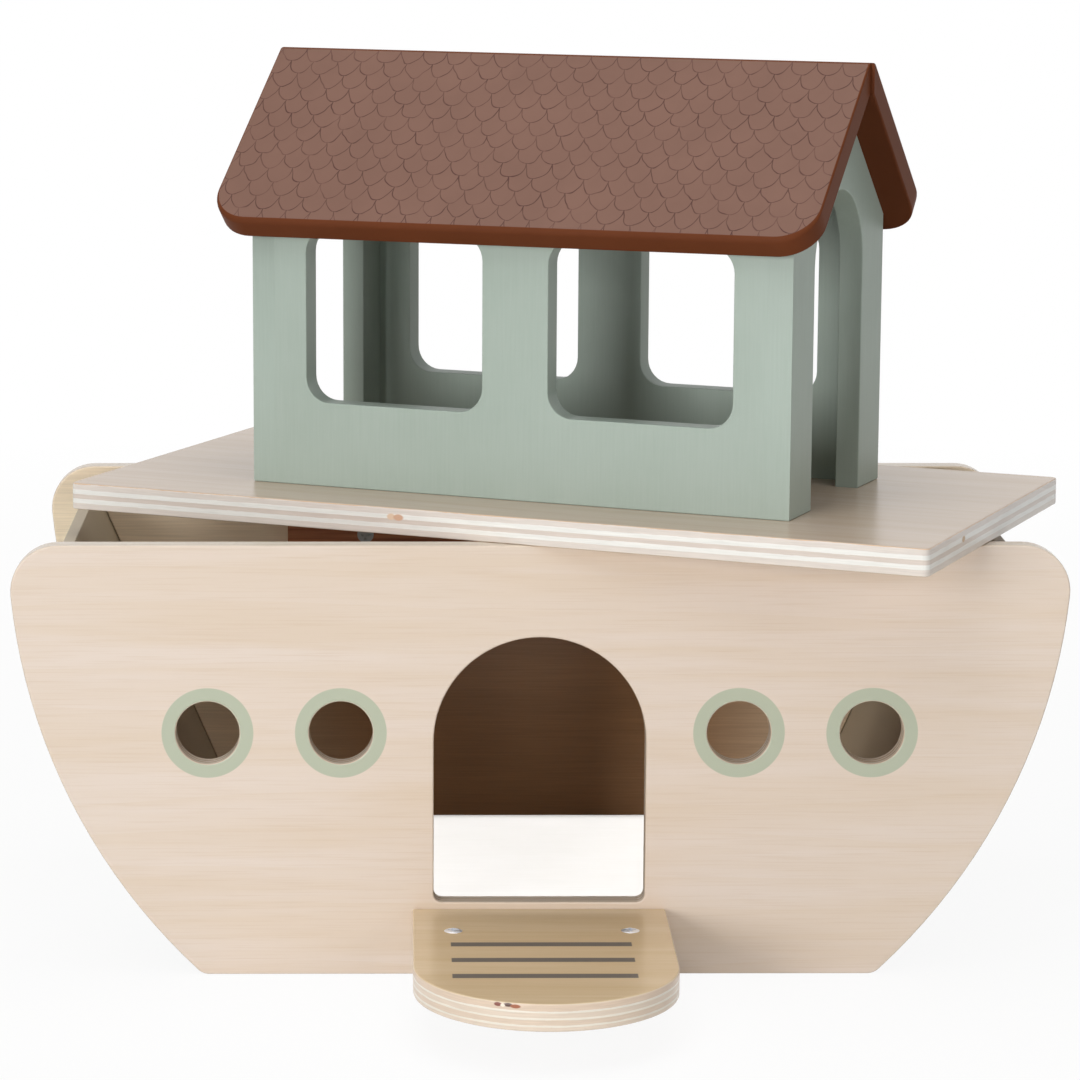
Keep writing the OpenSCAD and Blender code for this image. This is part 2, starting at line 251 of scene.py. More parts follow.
@dataclass(frozen=True)
class Finish:
    """A surface finish; each kind draws its own colour and relief.

    Attributes:
        name: the material's name.
        gloss: how it shines.
    """

    name: str
    gloss: Gloss

    def material(self) -> bpy.types.Material:
        """Makes the material.

        Returns:
            The material, ready to be put on a piece.
        """
        made = bpy.data.materials.new(self.name)
        made.use_nodes = True
        tree = made.node_tree
        shine = {"Roughness": self.gloss.roughness, "Specular IOR Level": self.gloss.specular}
        fill(tree, tree.nodes["Principled BSDF"], shine | self.draw(tree))
        return made

    def draw(self, tree: Tree) -> dict[str, object]:
        """Draws the finish in a material's tree, and returns what the shader's inputs get, by name."""
        raise NotImplementedError


@dataclass(frozen=True)
class Flaw:
    """A small filled knot or chip in a board, drawn as a soft oval.

    Attributes:
        centre: its middle, in the board's frame.
        half: half its size along the board's X, Y and Z.
        colour: its colour.
        rim: the shares of that half between which it fades out, the outer one first.
    """

    centre: Triple
    half: Triple
    colour: str
    rim: Pair = (1.2, 0.75)

    def over(self, tree: Tree, place: Socket, below: Socket) -> Socket:
        """Draws the flaw over a board's colour.

        Args:
            tree: the material's node tree.
            place: the point in the board's frame, in millimetres.
            below: the board's colour.

        Returns:
            The colour with the flaw in it.
        """
        apart = add(tree, "VectorMath SUBTRACT", [place, self.centre])
        share = add(tree, "VectorMath DIVIDE", [apart, self.half])
        reach = add(tree, "VectorMath LENGTH", [share], out="Value")
        mask = add(tree, "MapRange SMOOTHSTEP", [reach, *self.rim])
        return add(tree, "Mix", [mask, below, self.colour])


@dataclass(frozen=True)
class RecessShade:
    """Painted shade on a panel's back where it lies deep in the hull: the veneer's colour is made
    browner and darker there, where little light reaches.

    Attributes:
        colour: the painted shade's browner, darker colour.
        middle: X of the hull's middle in the panel's frame.
        foot: half the width between the end boards at the foot.
        flare: growth of that half with each millimetre of height.
        top: heights between which the painted shade fades out, the upper one first.
        sides: distances from the middle between which it fades out, the outer one first.
    """

    colour: str
    middle: float = 0.0
    foot: float = 110.0
    flare: float = 0.43
    top: Pair = (128.0, 105.0)
    sides: Pair = (150.0, 60.0)

    def over(self, tree: Tree, place: Socket, colour: str) -> Socket:
        """Paints the shade over the colour of the back.

        Args:
            tree: the material's node tree.
            place: the point in the panel's frame, in millimetres.
            colour: the back's colour elsewhere.

        Returns:
            The back's colour with the painted shade in it.
        """
        parts = add(tree, "SeparateXYZ", [place]).node.outputs
        sideways = add(tree, "Math SUBTRACT", [parts["X"], self.middle])
        apart = add(tree, "Math ABSOLUTE", [sideways])
        room = add(tree, "Math MULTIPLY_ADD", [parts["Y"], self.flare, self.foot])
        low = add(tree, "MapRange SMOOTHSTEP", [parts["Y"], *self.top])
        central = add(tree, "MapRange", [apart, *self.sides])
        # Painted shade mask: between the end boards, below the deck, and strongest in the middle
        deep = add(tree, "Math LESS_THAN", [apart, room])
        for share in (low, central):
            deep = add(tree, "Math MULTIPLY", [deep, share])
        return add(tree, "Mix", [deep, colour, self.colour])


# Sizes of the veneer's marks along the grain, across it and out of the face; the pores are drawn
# coarser than they are, so that they show
STREAK: Triple = (190.0, 13.0, 13.0)
FLAME: Triple = (420.0, 52.0, 52.0)
PORE: Triple = (34.0, 0.7, 0.7)
# Size of the fibres on a cut edge, and how far they shift its layers
FIBRE: Triple = (11.0, 11.0, 0.5)
FIBRE_SHIFT: float = 0.35


@dataclass(frozen=True)
class VeneeredPly(Finish):
    """Birch plywood with a pale basswood veneer, sanded and sealed with a thin lacquer.

    The eye gets a quiet, creamy face with long faint streaks along the grain, and cut edges with
    pale and tan layers.

    Attributes:
        board: where the board lies.
        thickness: the board's thickness.
        face: the veneer's colour.
        figure: the warmer colour of its broad streaks.
        pore: the darker colour of its fine lines.
        reverse: colour of the rawer veneer on the back.
        plies: thickness and colour of each layer on the cut edge, from the lower face up.
        flaws: small filled knots and chips.
        recess_shade: painted shade, browner and darker, on the back where it lies deep in the hull, or
            None.
    """

    board: BoardFrame
    thickness: float
    face: str
    figure: str
    pore: str
    reverse: str
    plies: tuple[tuple[float, str], ...]
    flaws: tuple[Flaw, ...] = ()
    recess_shade: RecessShade | None = None

    def printed(self, tree: Tree, place: Socket) -> tuple[Socket, str] | None:
        """Returns the mask and the colour of the print on the face; a plain board has none."""
        return None

    def draw(self, tree: Tree) -> dict[str, object]:
        """Draws the veneer, the layered edges and the print.

        Args:
            tree: the material's node tree.

        Returns:
            What the shader's inputs get, by name.
        """
        place = self.board.place(tree)
        facing = self.board.facing(tree)
        veneer, grain = self.veneer(tree, place, facing)
        flat = add(tree, "Math ABSOLUTE", [facing])
        on_face = add(tree, "MapRange SMOOTHSTEP", [flat, 0.6, 0.85])
        edge = self.edge(tree, place)
        colour = add(tree, "Mix", [on_face, edge, veneer])
        mark = self.printed(tree, place)
        if mark is not None:
            outer = add(tree, "MapRange", [facing, 0.7, 0.9])
            mask = add(tree, "Math MULTIPLY", [mark[0], outer])
            colour = add(tree, "Mix", [mask, colour, mark[1]])
        for flaw in self.flaws:
            colour = flaw.over(tree, place, colour)
        relief = add(tree, "Bump", {"Strength": 0.12, "Distance": 0.15 * MM, "Height": grain})
        return {"Base Color": colour, "Normal": relief}

    def veneer(self, tree: Tree, place: Socket, facing: Socket) -> tuple[Socket, Socket]:
        """Draws the veneer's streaks, flame figure and fine pores.

        Args:
            tree: the material's node tree.
            place: the point in the board's frame, in millimetres.
            facing: how far the surface faces out of the board.

        Returns:
            The veneer's colour, and its grain as a height.
        """
        broad = blotches(tree, place, STREAK, 3.0, 0.55, 0.5)
        warm = add(tree, "MapRange", [broad, 0.36, 0.68, 0.0, 0.6])
        # Flame figure: growth lines about 7 mm apart, bent by slow waves along the grain
        waves = {
            "Vector": add(tree, "VectorMath MULTIPLY", [place, [1 / s for s in FLAME]]),
            "Scale": 1.2,
            "Distortion": 9.0,
            "Detail": 2.0,
            "Detail Scale": 0.9,
            "Detail Roughness": 0.5,
        }
        flame = add(tree, "TexWave", waves, out="Fac", bands_direction="Y", wave_profile="SAW")
        lines = add(tree, "MapRange", [flame, 0.72, 1.0, 0.0, 0.3])
        pores = blotches(tree, place, PORE, 2.0, 0.6)
        fine = add(tree, "MapRange", [pores, 0.5, 0.8, 0.0, 0.3])
        front = self.face
        for share, mark in ((warm, self.figure), (lines, self.figure), (fine, self.pore)):
            front = add(tree, "Mix", [share, front, mark])
        # The back gets painted shade deep in the hull, where little light reaches
        back = self.reverse
        if self.recess_shade is not None:
            back = self.recess_shade.over(tree, place, self.reverse)
        # The raw back is not sanded, so that its streaks and pores show more
        streaks = add(tree, "Math ADD", [broad, pores])
        tone = add(tree, "MapRange", [streaks, 0.7, 1.35, 1.12, 0.86])
        raw = add(tree, "Mix MULTIPLY", [1.0, back, tone])
        behind = add(tree, "Math LESS_THAN", [facing, -0.5])
        return add(tree, "Mix", [behind, front, raw]), pores

    def edge(self, tree: Tree, place: Socket) -> Socket:
        """Draws the layers of a cut edge.

        Args:
            tree: the material's node tree.
            place: the point in the board's frame, in millimetres.

        Returns:
            The edge's colour.
        """
        fibres = blotches(tree, place, FIBRE, 3.0, 0.65)
        wander = add(tree, "MapRange", [fibres, 0.0, 1.0, -FIBRE_SHIFT, FIBRE_SHIFT])
        depth = add(tree, "SeparateXYZ", [place], out="Z")
        shifted = add(tree, "Math ADD", [depth, wander])
        share = add(tree, "Math DIVIDE", [shifted, self.thickness])
        layers = add(tree, "ValToRGB", [share])
        ramp = layers.node.color_ramp
        ramp.interpolation = "CONSTANT"
        total = sum(t for t, _ in self.plies)
        height = 0.0
        for i, (t, colour) in enumerate(self.plies):
            # A new ramp has two stops already
            stop = ramp.elements[i] if i < 2 else ramp.elements.new(0.999)
            stop.position = height / total
            stop.color = linear(colour)
            height += t
        tone = add(tree, "MapRange", [fibres, 0.3, 0.75, 1.0, 0.86])
        return add(tree, "Mix MULTIPLY", [1.0, layers, tone])


@dataclass(frozen=True)
class RingedPly(VeneeredPly):
    """The hull's front panel: veneered ply with a flat sage ring printed round each porthole.

    Attributes:
        ring: the ring's colour.
        ring_d: the ring's outer diameter.
        porthole_x: distance of the inner portholes from the middle.
        porthole_pitch: spacing of two neighbouring portholes.
        porthole_z: height of the portholes.
        blur: half the width of the print's soft edge.
    """

    ring: str = "#B7BDA8"
    ring_d: float = 33.0
    porthole_x: float = 71.7
    porthole_pitch: float = 48.0
    porthole_z: float = 90.0
    blur: float = 0.15

    def printed(self, tree: Tree, place: Socket) -> tuple[Socket, str] | None:
        """Draws the rings on the outer face.

        Args:
            tree: the material's node tree.
            place: the point in the board's frame, in millimetres.

        Returns:
            The rings' mask and colour.
        """
        folded = add(tree, "VectorMath ABSOLUTE", [place])
        on_plane = add(tree, "VectorMath MULTIPLY", [folded, (1, 1, 0)])
        apart = []
        for x in (self.porthole_x, self.porthole_x + self.porthole_pitch):
            ends = [on_plane, (x, self.porthole_z, 0)]
            apart.append(add(tree, "VectorMath DISTANCE", ends, out="Value"))
        nearest = add(tree, "Math MINIMUM", apart)
        edge = self.ring_d / 2
        return add(tree, "MapRange", [nearest, edge + self.blur, edge - self.blur]), self.ring


@dataclass(frozen=True)
class StripedPly(VeneeredPly):
    """The boarding ramp: veneered ply with flat grey foot stripes printed on top.

    Attributes:
        stripe: the stripes' colour.
        stripe_x: how far the stripes' middle lies from the ramp's.
        stripe_l: length of a stripe.
        stripe_w: width of a stripe.
        first: distance of the first stripe from the hull.
        pitch: spacing of the stripes.
        count: number of stripes.
        blur: half the width of the print's soft edge, at a stripe's ends and along its sides.
    """

    stripe: str = "#756F68"
    stripe_x: float = -0.8
    stripe_l: float = 63.6
    stripe_w: float = 5.0
    first: float = 46.9
    pitch: float = 19.45
    count: int = 3
    blur: Pair = (0.15, 0.2)

    def printed(self, tree: Tree, place: Socket) -> tuple[Socket, str] | None:
        """Draws the stripes on the top face.

        Args:
            tree: the material's node tree.
            place: the point in the board's frame, in millimetres.

        Returns:
            The stripes' mask and colour.
        """
        parts = add(tree, "SeparateXYZ", [place]).node.outputs
        sideways = add(tree, "Math SUBTRACT", [parts["X"], self.stripe_x])
        along = add(tree, "Math ABSOLUTE", [sideways])
        out = add(tree, "Math MULTIPLY", [parts["Y"], -1.0])
        past = add(tree, "Math SUBTRACT", [out, self.first])
        off = add(tree, "Math PINGPONG", [past, self.pitch / 2])
        middle = self.first + self.pitch * (self.count - 1) / 2
        beyond = add(tree, "Math SUBTRACT", [out, middle])
        from_middle = add(tree, "Math ABSOLUTE", [beyond])
        mask = add(tree, "Math LESS_THAN", [from_middle, self.pitch * self.count / 2])
        for distance, size, blur in zip((along, off), (self.stripe_l, self.stripe_w), self.blur):
            inside = add(tree, "MapRange", [distance, size / 2 + blur, size / 2 - blur])
            mask = add(tree, "Math MULTIPLY", [mask, inside])
        return mask, self.stripe


@dataclass(frozen=True)
class SatinPaint(Finish):
    """Water-based satin paint, sprayed on sanded wood.

    It hides the wood's colour and lets a little of its grain show as relief.

    Attributes:
        board: where the board lies.
        colour: the paint's colour.
        shade: the slightly deeper tone where the paint lies thinner.
        bare: colour of the bare wood on faces that look up, or None where they are painted too.
        cloud: size of the clouds of thinner paint.
        grain: size of the grain's lines, drawn coarser than they are, so that they show.
    """

    board: BoardFrame
    colour: str
    shade: str
    bare: str | None = None
    cloud: Triple = (35.0, 35.0, 35.0)
    grain: Triple = (26.0, 0.8, 0.8)

    def draw(self, tree: Tree) -> dict[str, object]:
        """Draws the paint's faint clouds and the grain below it.

        Args:
            tree: the material's node tree.

        Returns:
            What the shader's inputs get, by name.
        """
        place = self.board.place(tree)
        clouds = blotches(tree, place, self.cloud, 3.0, 0.6)
        grain = blotches(tree, place, self.grain, 3.0, 0.65)
        both = add(tree, "Math ADD", [clouds, grain])
        thin = add(tree, "MapRange", [both, 0.75, 1.3, 0.0, 1.0])
        colour = add(tree, "Mix", [thin, self.colour, self.shade])
        if self.bare is not None:
            upward = add(tree, "MapRange", [self.board.facing(tree), 0.1, 0.2])
            colour = add(tree, "Mix", [upward, colour, self.bare])
        relief = add(tree, "Bump", {"Strength": 0.12, "Distance": 0.15 * MM, "Height": grain})
        return {"Base Color": colour, "Normal": relief}


@dataclass(frozen=True)
class ScalePrint(Finish):
    """Brown eggshell paint on a roof board, with rows of fish-scale tiles printed in a fine line.

    The print looks drawn by hand: the scales vary a little, and their line fades in places.

    Attributes:
        board: where the board lies; its Y runs down the slope.
        face: colour of the printed face: the brown paint with a painted sheen, lighter and greyer than
            the edges.
        edge: colour of the painted edges and the underside.
        line: colour of the printed line.
        scale_w: width of a scale.
        scale_h: spacing of the rows.
        line_w: width of the line.
        rim: shares of half that width between which the line fades out, the outer one first.
        blunt: powers of a scale's form across and down, a little under a circle's.
        cloud: size of the paint's clouds.
        spray: size of its spray grain.
        wobble: length of the hand's wobble.
        sway: how far that wobble moves the line.
        patch: size of the patches in which the line fades.
    """

    board: BoardFrame
    face: str
    edge: str
    line: str
    scale_w: float = 9.7
    scale_h: float = 6.8
    line_w: float = 0.42
    rim: Pair = (1.7, 0.3)
    blunt: Pair = (1.9, 1.75)
    cloud: Triple = (25.0, 25.0, 25.0)
    spray: Triple = (1.0, 1.0, 1.0)
    wobble: Triple = (8.0, 8.0, 8.0)
    sway: Triple = (3.2, 2.6, 0.0)
    patch: Triple = (6.0, 6.0, 6.0)

    def draw(self, tree: Tree) -> dict[str, object]:
        """Draws the paint and the printed scales.

        Args:
            tree: the material's node tree.

        Returns:
            What the shader's inputs get, by name.
        """
        place = self.board.place(tree)
        facing = self.board.facing(tree)
        clouds = blotches(tree, place, self.cloud, 4.0, 0.6)
        spray = blotches(tree, place, self.spray, 2.0)
        tone = add(tree, "MapRange", [clouds, 0.3, 0.7, 0.95, 1.05])
        # The face's colour holds a painted sheen; the edges and the underside get the plain brown
        on_face = add(tree, "MapRange SMOOTHSTEP", [facing, 0.985, 0.998])
        paint = add(tree, "Mix", [on_face, self.edge, self.face])
        toned = add(tree, "Mix MULTIPLY", [1.0, paint, tone])
        inked = add(tree, "Math MULTIPLY", [self.scales(tree, place), on_face])
        colour = add(tree, "Mix", [inked, toned, self.line])
        relief = add(tree, "Bump", {"Strength": 0.08, "Distance": 0.1 * MM, "Height": spray})
        return {"Base Color": colour, "Normal": relief}

    def scales(self, tree: Tree, place: Socket) -> Socket:
        """Draws the outlines of the scales, row by row.

        Args:
            tree: the material's node tree.
            place: the point in the board's frame, in millimetres.

        Returns:
            The mask of the printed line.
        """
        wobble = blotches(tree, place, self.wobble, 1.0).node.outputs["Color"]
        centred = add(tree, "VectorMath SUBTRACT", [wobble, (0.5, 0.5, 0.5)])
        moved = add(tree, "VectorMath MULTIPLY_ADD", [centred, self.sway, place])
        parts = add(tree, "SeparateXYZ", [moved]).node.outputs
        half_w = self.scale_w / 2
        rows = add(tree, "Math DIVIDE", [parts["Y"], self.scale_h])
        row = add(tree, "Math FLOOR", [rows])
        down = add(tree, "Math SUBTRACT", [rows, row])
        # Each row is moved on by half a scale
        offset = add(tree, "Math MULTIPLY", [row, half_w])
        slid = add(tree, "Math ADD", [parts["X"], offset])
        across = add(tree, "Math WRAP", [slid, -half_w, half_w])
        side = add(tree, "Math ABSOLUTE", [across])
        reach = add(tree, "Math DIVIDE", [side, half_w])
        # A blunt U, on whose line the form is 1
        bent = [add(tree, "Math POWER", pair) for pair in zip((reach, down), self.blunt)]
        form = add(tree, "Math ADD", bent)
        miss = add(tree, "Math SUBTRACT", [form, 1.0])
        gap = add(tree, "Math ABSOLUTE", [miss])
        # Half the line's width in units of that form, which grows by 1 over this many millimetres
        growth = 0.28 * (half_w + self.scale_h)
        half = self.line_w / 2 / growth
        line = add(tree, "MapRange SMOOTHSTEP", [gap, *(half * r for r in self.rim)])
        fade = blotches(tree, place, self.patch, 1.0)
        press = add(tree, "MapRange", [fade, 0.3, 0.65, 0.3, 0.75])
        return add(tree, "Math MULTIPLY", [line, press])


@dataclass(frozen=True)
class PlainWood(Finish):
    """Planed solid wood without paint, such as beech or a red hardwood, with straight grain.

    Attributes:
        board: where the piece lies.
        light: colour of the early wood.
        dark: colour of the late wood.
        growth: size of the growth lines.
    """

    board: BoardFrame
    light: str
    dark: str
    growth: Triple = (45.0, 1.2, 1.2)

    def draw(self, tree: Tree) -> dict[str, object]:
        """Draws the straight grain.

        Args:
            tree: the material's node tree.

        Returns:
            What the shader's inputs get, by name.
        """
        grain = blotches(tree, self.board.place(tree), self.growth, 3.0, 0.6)
        late = add(tree, "MapRange", [grain, 0.35, 0.7])
        colour = add(tree, "Mix", [late, self.light, self.dark])
        relief = add(tree, "Bump", {"Strength": 0.15, "Distance": 0.15 * MM, "Height": grain})
        return {"Base Color": colour, "Normal": relief}


@dataclass(frozen=True)
class ZincPlate(Finish):
    """Bright zinc plating on steel screws: cool grey metal with a fine, uneven polish.

    Attributes:
        colour: the metal's colour.
        mark: size of a polish mark.
    """

    colour: str
    mark: float = 0.6

    def draw(self, tree: Tree) -> dict[str, object]:
        """Draws the plating's uneven polish.

        Args:
            tree: the material's node tree.

        Returns:
            What the shader's inputs get, by name.
        """
        point = add(tree, "TexCoord", out="Object")
        noise = {"Vector": point, "Scale": 1 / (self.mark * MM), "Detail": 2.0}
        marks = add(tree, "TexNoise", noise)
        smooth, dull = self.gloss.roughness - 0.08, self.gloss.roughness + 0.12
        rough = add(tree, "MapRange", [marks, 0.0, 1.0, smooth, dull])
        return {"Base Color": self.colour, "Metallic": 1.0, "Roughness": rough}


@dataclass(frozen=True)
class Easing:
    """How a piece's edges are eased, so that they catch the light as sanded edges do.

    Attributes:
        width: width of an eased edge.
        marked: width of the edges that carry a mark of 1, or 0 where no edge is marked.
        steps: number of facets across a marked edge.
        corner: least angle that counts as an edge, in degrees.
        joined: distance at which two points become one.
        flat: turn at which two faces become one, in degrees.
    """

    width: float
    marked: float = 0.0
    steps: int = 2
    corner: float = 50.0
    joined: float = 0.005
    flat: float = 0.1

    def apply(self, piece: bpy.types.Object) -> None:
        """Adds the modifiers that join, ease and smooth a piece.

        Args:
            piece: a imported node's object, or a piece in its place.
        """
        for face in piece.data.polygons:
            face.use_smooth = True
        merged = {"decimate_type": "DISSOLVE", "angle_limit": math.radians(self.flat)}
        stack = [
            ("joined", "WELD", {"merge_threshold": self.joined * MM}),
            ("flattened", "DECIMATE", merged),
        ]
        bevels = [("rounded", self.marked, self.steps, "WEIGHT")] if self.marked else []
        for name, width, steps, limit in bevels + [("eased", self.width, 2, "ANGLE")]:
            bevel = {"width": width * MM, "segments": steps, "limit_method": limit}
            bevel |= {"use_clamp_overlap": False, "loop_slide": False}
            stack.append((name, "BEVEL", bevel | {"angle_limit": math.radians(self.corner)}))
        stack.append(("smoothed", "WEIGHTED_NORMAL", {"keep_sharp": True, "weight": 100}))
        for name, kind, settings in stack:
            modifier = piece.modifiers.new(name, kind)
            for key, value in settings.items():
                setattr(modifier, key, value)


# An edge too fine to see, for dowels, screws and filled joints
CRISP = Easing(0.02)
# The edge attribute that Blender's bevel reads as an edge's share of the width
EDGE_MARK: str = "bevel_weight_edge"


def coat(piece: bpy.types.Object, finish: Finish, easing: Easing) -> None:
    """Gives a piece its finish and eased edges.

    Args:
        piece: the piece.
        finish: its finish.
        easing: how its edges are eased.
    """
    piece.data.materials.clear()
    piece.data.materials.append(finish.material())
    easing.apply(piece)
    LOG.info("%s: %s", piece.name, finish.name)


def dress(finish: Finish, easing: Easing, *nodes: str) -> None:
    """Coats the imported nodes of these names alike."""
    for node in nodes:
        coat(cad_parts[node], finish, easing)


# Layers of a cut edge from the lower face up, as thickness and colour
DECK_PLIES = (
    (2.5, "#E4DAD0"),
    (1.75, "#F3F1EB"),
    (1.75, "#DED1C6"),
    (1.75, "#F3F1EB"),
    (2.1, "#E4DAD1"),
    (0.4, "#DDB896"),
)
RAMP_PLIES = (
    (1.7, "#E9D8C5"),
    (0.7, "#F3EBDD"),
    (1.8, "#E5D1BC"),
    (0.7, "#F3EBDD"),
    (1.8, "#E9D8C5"),
    (0.7, "#F5EDE0"),
    (2.2, "#E6D0BA"),
    (0.4, "#EBDCC4"),
)
PANEL_PLIES = (
    (1.4, "#DCC9B4"),
    (1.3, "#E6DDD0"),
    (1.3, "#C9B29A"),
    (1.3, "#E6DDD0"),
    (1.3, "#C9B29A"),
    (1.2, "#E6DDD0"),
    (1.2, "#DCC9B4"),
)

# A dark knot with a pale chip, filled in the ramp's rim, and patches of filler in the deck's
RAMP_FLAWS = (
    Flaw((-17.8, -115.4, 8.8), (1.3, 3.0, 0.7), "#8E594E"),
    Flaw((-14.4, -116.7, 8.9), (1.6, 3.0, 0.65), "#644D45"),
    Flaw((-12.0, -117.4, 8.6), (1.8, 3.0, 0.7), "#A8694E"),
    Flaw((-16.2, -116.0, 8.6), (0.8, 3.0, 0.5), "#F6EBDA"),
)
DECK_FLAWS = (
    Flaw((-34.8, -83.0, 6.6), (1.7, 2.0, 1.2), "#E4C8AC"),
    Flaw((-32.0, -83.0, 6.5), (2.0, 2.0, 1.2), "#D6AC90"),
    Flaw((167.1, -41.0, 6.6), (2.0, 2.0, 1.1), "#C3A37F"),
)

# Colour and deeper tone of the sage paint, and of the dowels' beech
SAGE: tuple[str, str] = ("#AAB7AD", "#A4B2A7")
BEECH: tuple[str, str] = ("#D3B48C", "#C29E74")


@dataclass
class Hull:
    """The hull: two veneered panels, sage end boards, a white floor, and the deck's rails.

    Attributes:
        depth: depth over both panels.
        panel_t: thickness of a panel.
        rail_z: height of the rails' lower edge.
        shift: how far the back panel's frame is shifted, so that its figure isn't the front one's.
        across: the frame of pieces whose grain runs across the hull.
    """

    depth: float = 186.0
    panel_t: float = 9.0
    rail_z: float = 124.5
    shift: float = 37.0
    across: BoardFrame = BoardFrame(turn=(0.0, 0.0, 90.0))

    def build(self) -> None:
        """Dresses every piece of the hull."""
        self.dress_panels()
        self.dress_boards()
        self.dress_rails()

    def dress_panels(self) -> None:
        """Gives the panels their veneer, with painted shade on their backs deep in the hull, and the
        front one its porthole rings.
        """
        inner = self.depth / 2 - self.panel_t
        # Painted shade: the browner, darker colour of the backs deep in the hull, where little light
        # reaches
        brown = "#B0855E"
        veneer = {
            "gloss": Gloss.LACQUER,
            "thickness": self.panel_t,
            "face": "#E2D3C6",
            "figure": "#DBC7B0",
            "pore": "#CBB092",
            "reverse": "#E6D2B6",
            "plies": PANEL_PLIES,
        }
        front_at = BoardFrame((0, -inner, 0), (90, 0, 0))
        back_at = BoardFrame((self.shift, inner, 0), (90, 0, 180))
        front = RingedPly(name="front_veneer", board=front_at, recess_shade=RecessShade(brown), **veneer)
        # The back panel's painted shade, centred on the hull's middle in its shifted frame
        deep = RecessShade(brown, middle=self.shift)
        back = VeneeredPly(name="back_veneer", board=back_at, recess_shade=deep, **veneer)
        dress(front, Easing(0.7), "hull_front_panel")
        dress(back, Easing(0.7), "hull_back_panel")

    def dress_boards(self) -> None:
        """Paints the end boards sage outside and the floor white."""
        sage = SatinPaint("end_board_sage", Gloss.SATIN, self.across, *SAGE, bare="#A99B84")
        white = SatinPaint("floor_white", Gloss.MATT, BoardFrame(), "#EFEEEC", "#EAE9E6")
        dress(sage, Easing(0.4), "left_end_board", "right_end_board")
        dress(white, Easing(0.4), "hull_floor")

    def dress_rails(self) -> None:
        """Gives the rails, dowels and screws of the hull their bare wood and plating."""
        along = BoardFrame((0, 0, self.rail_z))
        red_wood = PlainWood("rail_hardwood", Gloss.MATT, along, "#AB6F4B", "#854E33")
        dress(red_wood, Easing(0.5), "front_deck_rail", "back_deck_rail")
        dress(PlainWood("floor_dowel_beech", Gloss.MATT, self.across, *BEECH), CRISP, "floor_dowels")
        dress(ZincPlate("rail_screw_zinc", Gloss.ZINC, "#9B9C99"), CRISP, "deck_rail_screws")


@dataclass
class Ramp:
    """The boarding ramp: a D-shaped veneered board on two countersunk screws.

    Attributes:
        hull_front: distance of the hull's front from its middle.
        floor_t: height of the ramp's underside.
        ramp_t: thickness of the ramp.
    """

    hull_front: float = 93.0
    floor_t: float = 14.9
    ramp_t: float = 9.8

    def build(self) -> None:
        """Dresses the ramp and its screws."""
        top = StripedPly(
            name="ramp_veneer",
            gloss=Gloss.LACQUER,
            board=BoardFrame((0, -self.hull_front, self.floor_t)),
            thickness=self.ramp_t,
            face="#DAC3A0",
            figure="#CDB28B",
            pore="#BB9D72",
            reverse="#C4A47A",
            plies=RAMP_PLIES,
            flaws=RAMP_FLAWS,
        )
        dress(top, Easing(0.8), "boarding_ramp")
        dress(ZincPlate("ramp_screw_zinc", Gloss.ZINC, "#E9EBEF"), CRISP, "ramp_screws")


@dataclass
class Deck:
    """The loose deck board, as it lies turned on top of the hull.

    Attributes:
        x: where its middle lies along the hull.
        y: where its middle lies across the hull.
        z: height of its underside.
        turn: its turn, in degrees.
        deck_t: its thickness.
    """

    x: float = 12.5
    y: float = -9.5
    z: float = 158.5
    turn: float = -24.5
    deck_t: float = 10.0

    def board(self, up: float = 0.0, tilt: float = 0.0, round_about: float = 0.0) -> BoardFrame:
        """Returns a board's frame, up from the deck's underside, tilted and turned by degrees."""
        return BoardFrame((self.x, self.y, self.z + up), (tilt, 0.0, self.turn + round_about))

    def build(self) -> None:
        """Dresses the deck board."""
        veneer = VeneeredPly(
            name="deck_veneer",
            gloss=Gloss.LACQUER,
            board=self.board(),
            thickness=self.deck_t,
            face="#CBB8A6",
            figure="#C0AA94",
            pore="#B09881",
            reverse="#C4A47A",
            plies=DECK_PLIES,
            flaws=DECK_FLAWS,
        )
        dress(veneer, Easing(0.6), "deck_board")


